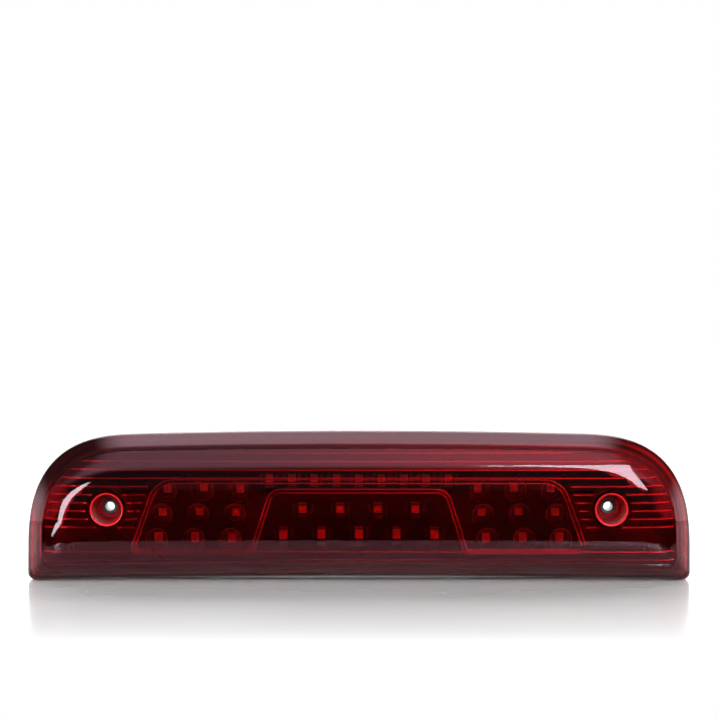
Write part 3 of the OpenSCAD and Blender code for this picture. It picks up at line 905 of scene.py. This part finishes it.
def housing_black():
    made = Finish("housing_black", (0.014, 0.014, 0.015), 0.48, IOR=1.5)
    made.vary_roughness(made.noise(700), 0.08)
    made.vary_colour(made.noise(60, 5), (0.024, 0.024, 0.025))
    made.bump(made.noise(2600, 2), 0.03, 0.6, 0.5)
    return made.material


def sealant_black():
    made = Finish("sealant_black", (0.012, 0.012, 0.013), 0.38)
    made.vary_roughness(made.noise(300), 0.1)
    made.bump(made.noise(240), 0.25, 0.8)
    return made.material


def foam():
    made = Finish("foam_grey", (0.04, 0.042, 0.046), 0.9)
    made.vary_colour(made.noise(900, 2), (0.02, 0.021, 0.024))
    made.vary_roughness(made.noise(900), 0.06)
    made.bump(made.cells(1500), 0.25, 0.9, 0.6)
    return made.material


def bezel_smoke():
    made = Finish("bezel_smoke", (0.002, 0.0018, 0.002), 0.22, Metallic=0.6, IOR=1.5)
    made.vary_roughness(made.noise(120), 0.06)
    made.vary_colour(made.noise(30), (0.004, 0.0035, 0.0038))
    made.bump(made.noise(300, 2), 0.01, 0.5, 0.3)
    return made.material


def reflector_smoke():
    made = Finish("reflector_smoke", (0.006, 0.005, 0.0055), 0.14, Metallic=1.0)
    made.vary_roughness(made.noise(200), 0.05)
    made.vary_colour(made.noise(80, 4), (0.01, 0.009, 0.0095))
    made.bump(made.noise(420, 2), 0.012, 0.5)
    return made.material


def board_green():
    """Solder mask over a brick pattern that stands for the tracks."""
    made = Finish("board_green", (0.012, 0.10, 0.04), 0.35, IOR=1.5)
    traces = made.node("ShaderNodeTexBrick")
    traces.inputs["Scale"].default_value = 260
    traces.inputs["Mortar Size"].default_value = 0.03
    for socket, tone in (("Color1", 0.2), ("Color2", 0.5), ("Mortar", 1.0)):
        traces.inputs[socket].default_value = (tone, tone, tone, 1)
    axes = made.axes()
    face = made.node("ShaderNodeCombineXYZ")
    made.link(axes["X"], face.inputs["X"])
    made.link(axes["Z"], face.inputs["Y"])
    made.link(face.outputs["Vector"], traces.inputs["Vector"])
    made.vary_colour(traces.outputs["Color"], (0.03, 0.19, 0.07), 0.3, 0.9)
    made.vary_roughness(made.noise(500), 0.08)
    made.bump(traces.outputs["Color"], 0.035, 0.7)
    return made.material


def moulded(name, colour, other, roughness, grain=1800, soften=0.2):
    """A moulded plastic or rubber with fine grain and soft edges."""
    made = Finish(name, colour, roughness)
    made.vary_colour(made.noise(180, 4), other)
    made.vary_roughness(made.noise(600), 0.07)
    made.bump(made.noise(grain, 2), 0.02, 0.6, soften)
    return made.material


def plated(name, colour, other, roughness, soften=0.15):
    """Plated metal with fine drawing lines and slight tarnish."""
    made = Finish(name, colour, roughness, Metallic=1.0)
    made.vary_colour(made.noise(240, 5), other)
    lines = made.noise(400, 2, made.stretched(1, 12, 1))
    made.vary_roughness(lines, 0.08)
    made.bump(lines, 0.01, 0.6, soften)
    return made.material


def membrane():
    made = Finish("membrane_white", (0.8, 0.8, 0.78), 0.85)
    made.vary_colour(made.noise(2400, 3), (0.66, 0.66, 0.64))
    made.vary_roughness(made.noise(900), 0.05)
    made.bump(made.cells(3200), 0.04, 0.8)
    return made.material


def package_materials():
    """The body, phosphor and terminals of a package."""
    return [
        moulded("led_package", (0.78, 0.75, 0.66), (0.7, 0.67, 0.58), 0.4, 900, 0),
        moulded("led_phosphor", (0.75, 0.5, 0.08), (0.68, 0.42, 0.06), 0.35, 900, 0),
        plated("led_terminal", (0.7, 0.7, 0.72), (0.6, 0.6, 0.62), 0.3, 0),
    ]


def finish_nodes():
    """Gives every CAD node that stays a procedural material."""
    lead = {"roughness": 0.42, "grain": 900, "soften": 0}
    made = {
        "rear_housing": housing_black(),
        "lens_sealant": sealant_black(),
        "mounting_gasket": foam(),
        "inner_bezel": bezel_smoke(),
        "centre_circuit_board left_cargo_board right_cargo_board": board_green(),
        "chip_resistors polarity_diodes current_regulators": moulded(
            "chip_black", (0.018, 0.018, 0.02), (0.03, 0.03, 0.032), 0.55
        ),
        "filter_capacitors": plated("capacitor_can", (0.6, 0.61, 0.64), (0.5, 0.51, 0.54), 0.3),
        "board_sockets lead_plugs": moulded("nylon_white", (0.7, 0.68, 0.6), (0.62, 0.6, 0.53), 0.42),
        "supply_leads": moulded("lead_red", (0.4, 0.018, 0.018), (0.3, 0.014, 0.014), **lead),
        "jumper_leads": moulded("lead_black", (0.015, 0.015, 0.016), (0.028, 0.028, 0.03), **lead),
        "board_screws": plated("screw_zinc", (0.62, 0.53, 0.32), (0.5, 0.42, 0.27), 0.3),
        "bezel_screws": plated("screw_black", (0.05, 0.05, 0.052), (0.03, 0.03, 0.032), 0.42),
        "screw_sleeves": plated("sleeve_steel", (0.2, 0.2, 0.21), (0.15, 0.15, 0.16), 0.42),
        "header_terminals": plated("terminal_tin", (0.7, 0.6, 0.36), (0.6, 0.5, 0.3), 0.25),
        "connector_header vent_cap": moulded("nylon_black", (0.016, 0.016, 0.018), (0.03, 0.03, 0.032), 0.45),
        "header_seal": moulded("seal_silicone", (0.32, 0.07, 0.045), (0.26, 0.055, 0.035), 0.62),
        "well_o_rings": moulded("o_ring_black", (0.013, 0.013, 0.014), (0.022, 0.022, 0.023), 0.5, 1500, 0),
        "vent_membrane": membrane(),
    }
    for names, material in made.items():
        for name in names.split():
            for slot in frame["nodes"][name].material_slots:
                slot.material = material


# ---- Stage, light and camera, in metres ----

FLOOR_Z = LENS_LOW.z * MM
FLOOR_FAR = 6
FLOOR_FADE = (-0.3, -0.03)

# The right half of the line, just in front of the lamp, where the floor's two parts meet
FLOOR_SEAM = [(0.195, -0.1), (0.245, -0.16), (0.41, -0.15), (0.45, -0.12), (FLOOR_FAR, -0.05)]
DARK_SHEET_DROP = 0.0005
SHADE_X, SHADE_Y, SHADE_H = 0.19, 0.006, 2 * SILL_RISE * MM

SOFTBOX_COLOUR = (0.5, 1, 0.88, 1)
SOFTBOX_STRENGTH = 24

# Each softbox's corners, as (azimuth, elevation) seen from its end of the lens
RIGHT_EYE, RIGHT_DISTANCE = (0.15, LENS_LOW.y * MM, 0.01), 2.2
RIGHT_CORNERS = [(0.7, 23.9), (2, 25.2), (4.2, 27), (6.5, 28.2), (12.3, 31.5), (30, 39)]
RIGHT_CORNERS += [(25.3, 29.2), (25.6, 19.2), (28.5, 10.5), (19.7, 10.8), (16, 14.6)]
RIGHT_CORNERS += [(12.4, 18.6), (8.3, 20.2), (5.4, 23.2), (3.7, 24.5)]
LEFT_EYE, LEFT_DISTANCE = (-0.178, -0.03, 0.008), 0.3
LEFT_CORNERS = [(-47, -10), (-44, -8), (-36, -6), (-34, 5), (-26, 10), (-17, 12.5), (-11.5, 13.5)]
LEFT_CORNERS += [(-13, 10), (-17, 7), (-22, 4), (-26, -1), (-30, -7.5), (-39, -9)]

BACK_LIGHT_SIZE, BACK_LIGHT_POWER = (2.4, 0.8), 100
BACK_LIGHT_RISE, BACK_LIGHT_DISTANCE = 32, 1.2

# The camera stands a little above the lamp and aims over it, so that the lamp lies low in the picture
CAMERA_RISE, CAMERA_DISTANCE = 5, 1.6
CAMERA_TILT = 1.69
CAMERA_LENS, CAMERA_SENSOR = 126.6, 36


def sheet_mesh(name, corners, material):
    """A flat stage sheet with these corners, in metres."""
    mesh = bpy.data.meshes.new(name)
    mesh.from_pydata(corners, [], [tuple(range(len(corners)))])
    sheet = bpy.data.objects.new(name, mesh)
    bpy.context.scene.collection.objects.link(sheet)
    mesh.materials.append(material)
    return sheet


def hidden_from(item, *rays):
    for ray in rays:
        setattr(item, "visible_" + ray, False)


def floor():
    """A pale floor whose gloss fades forwards. Gloss shows a dark sheet instead of its front part."""
    made = Finish("floor_white", (0.23, 0.23, 0.23), 0.2)
    made.vary_roughness(made.noise(12), 0.02)
    made.link(made.ranged(made.axes()["Y"], 1, 1.45, *FLOOR_FADE), made.shader.inputs["IOR"])
    dark = Finish("card_dark", (0.03, 0.03, 0.03), 0.9, Specular_IOR_Level=0.0)
    dark.vary_roughness(dark.noise(20), 0.05)

    far = FLOOR_FAR
    seam = [(-x, y) for x, y in reversed(FLOOR_SEAM)] + FLOOR_SEAM
    back = [(x, y, FLOOR_Z) for x, y in seam + [(far, far), (-far, far)]]
    front = [(x, y, FLOOR_Z) for x, y in seam[::-1] + [(-far, -far), (far, -far)]]
    below = [(x, y, z - DARK_SHEET_DROP) for x, y, z in front]
    sheet_mesh("floor_back", back, made.material)
    hidden_from(sheet_mesh("floor_front", front, made.material), "glossy")
    hidden_from(sheet_mesh("dark_card", below, dark.material), "camera", "diffuse", "shadow")


def shade_card():
    """A low dark strip just behind the lens, so the floor under its sill doesn't mirror the backdrop."""
    made = Finish("shade_dark", (0.02, 0.02, 0.02), 0.9)
    made.vary_roughness(made.noise(20), 0.05)
    corners = [(-SHADE_X, 0), (SHADE_X, 0), (SHADE_X, SHADE_H), (-SHADE_X, SHADE_H)]
    card = sheet_mesh("shade_card", [(x, SHADE_Y, FLOOR_Z + z) for x, z in corners], made.material)
    hidden_from(card, "camera", "diffuse", "shadow")


def towards(azimuth, elevation, distance, start=(0, 0, 0)):
    """A point in that direction: azimuth from straight in front towards +X, elevation upwards."""
    a, e = math.radians(azimuth), math.radians(elevation)
    way = Vector((math.sin(a) * math.cos(e), -math.cos(a) * math.cos(e), math.sin(e)))
    return Vector(start) + way * distance


def glow(name):
    """The plain light of a softbox."""
    material = bpy.data.materials.new(name)
    material.use_nodes = True
    tree = material.node_tree
    tree.nodes.clear()
    emission = tree.nodes.new("ShaderNodeEmission")
    emission.inputs["Color"].default_value = SOFTBOX_COLOUR
    emission.inputs["Strength"].default_value = SOFTBOX_STRENGTH
    output = tree.nodes.new("ShaderNodeOutputMaterial")
    tree.links.new(emission.outputs["Emission"], output.inputs["Surface"])
    return material


def softbox(side, eye, distance, corners):
    """A shaped panel that one curved end of the lens reflects."""
    points = [towards(azimuth, elevation, distance, eye) for azimuth, elevation in corners]
    sheet = sheet_mesh(side + "_softbox", points, glow(side + "_glow"))
    hidden_from(sheet, "camera", "diffuse", "shadow")


def back_light():
    """A wide panel behind the lamp that throws its soft shadow forwards over the floor."""
    light = bpy.data.lights.new("back_light", "AREA")
    light.shape = "RECTANGLE"
    light.size, light.size_y = BACK_LIGHT_SIZE
    light.energy = BACK_LIGHT_POWER
    lamp = bpy.data.objects.new("back_light", light)
    lamp.location = towards(180, BACK_LIGHT_RISE, BACK_LIGHT_DISTANCE)
    lamp.rotation_euler = lamp.location.to_track_quat("Z", "Y").to_euler()
    hidden_from(lamp, "camera", "glossy", "transmission")
    bpy.context.scene.collection.objects.link(lamp)


def world():
    """White to the camera. The lamp mirrors a studio that is dim in front and bright behind and above."""
    made = bpy.data.worlds.new("studio")
    made.use_nodes = True
    tree = made.node_tree
    tree.nodes.clear()

    def math_node(operation, *values):
        node = tree.nodes.new("ShaderNodeMath")
        node.operation = operation
        for value, socket in zip(values, node.inputs):
            tree.links.new(value, socket)
        return node.outputs[0]

    def ranged(value, start, end, low, high):
        """From low, where the value is start or less, smoothly to high, where it is end or more."""
        node = tree.nodes.new("ShaderNodeMapRange")
        node.interpolation_type = "SMOOTHSTEP"
        node.inputs["From Min"].default_value = start
        node.inputs["From Max"].default_value = end
        tree.links.new(value, node.inputs["Value"])
        for socket, number in (("To Min", low), ("To Max", high)):
            if isinstance(number, (int, float)):
                node.inputs[socket].default_value = number
            else:
                tree.links.new(number, node.inputs[socket])
        return node.outputs["Result"]

    # The direction a ray goes in, with how far sideways and how far towards an upper corner that is
    way = tree.nodes.new("ShaderNodeSeparateXYZ")
    tree.links.new(tree.nodes.new("ShaderNodeTexCoord").outputs["Generated"], way.inputs["Vector"])
    x, y, z = (way.outputs[axis] for axis in "XYZ")
    sideways = math_node("ABSOLUTE", x)
    corner = math_node("MULTIPLY", sideways, z)
    path = tree.nodes.new("ShaderNodeLightPath").outputs

    # Mirrored from in front: dark below, a grey band above, dimmer straight overhead and in the corners
    ahead = ranged(z, 0.3, 0.42, 0.12, 1.8)
    ahead = ranged(z, 0.9, 0.96, ahead, 0.6)
    ahead = ranged(corner, 0.12, 0.3, ahead, 0.3)

    # Mirrored from behind: a bright horizon, brighter above, dark in the upper corners
    horizon = ranged(sideways, 0.2, 0.5, 2.4, 2.0)
    over = ranged(z, 0.2, 0.8, horizon, 3.4)
    over = ranged(corner, 0.1, 0.34, over, 0.1)
    mirrored = ranged(y, -0.2, 0.0, ahead, over)

    # Seen through the lens: bright at the sides and from above on the right, dark elsewhere
    side = ranged(sideways, 0.5, 0.8, 0.02, 7.0)
    sky = ranged(x, -0.08, 0.12, 0.8, 9.0)
    front = ranged(z, 0.3, 0.5, side, sky)
    behind = ranged(x, 0.1, 0.5, 0.1, 1.4)
    refracted = ranged(y, 0.0, 0.4, front, behind)
    shown = ranged(path["Is Transmission Ray"], 0, 1, mirrored, refracted)

    # On matt surfaces: a soft fill, strongest from straight in front
    fill = ranged(y, -0.5, 0.3, 4.0, 1.2)
    fill = ranged(y, -0.95, -0.6, 17.0, fill)
    shown = ranged(path["Diffuse Depth"], 0, 1, shown, fill)

    background = tree.nodes.new("ShaderNodeBackground")
    background.inputs["Color"].default_value = (1, 1, 1, 1)
    tree.links.new(ranged(path["Is Camera Ray"], 0, 1, shown, 1.0), background.inputs["Strength"])
    output = tree.nodes.new("ShaderNodeOutputWorld")
    tree.links.new(background.outputs["Background"], output.inputs["Surface"])
    bpy.context.scene.world = made


def camera():
    data = bpy.data.cameras.new("camera")
    data.sensor_width = CAMERA_SENSOR
    data.lens = CAMERA_LENS
    data.clip_start, data.clip_end = 0.05, 40
    cam = bpy.data.objects.new("camera", data)
    bpy.context.scene.collection.objects.link(cam)
    middle = Vector((0, (LENS_LOW.y + RIM_Y) / 2 * MM, MID_Z * MM))
    cam.location = towards(0, CAMERA_RISE, CAMERA_DISTANCE, middle)
    cam.rotation_euler = (math.radians(90 - CAMERA_TILT), 0, 0)
    bpy.context.scene.camera = cam


def main():
    bpy.context.scene.view_settings.view_transform = "Standard"
    lens(lens_red(), lens_red_grained_painted_shade())
    metallised = reflector_smoke()
    centre_reflector(metallised)
    strip_reflector(metallised)
    cargo_reflector("left", metallised)
    cargo_reflector("right", metallised)
    package = package_materials()
    led_packages("centre_leds", CENTRE_LEDS, package)
    led_packages("strip_leds", STRIP_LEDS, package)
    led_packages("left_cargo_leds", CARGO_LEDS["left"], package)
    led_packages("right_cargo_leds", CARGO_LEDS["right"], package)
    finish_nodes()
    floor()
    shade_card()
    world()
    back_light()
    softbox("right", RIGHT_EYE, RIGHT_DISTANCE, RIGHT_CORNERS)
    softbox("left", LEFT_EYE, LEFT_DISTANCE, LEFT_CORNERS)
    camera()


main()
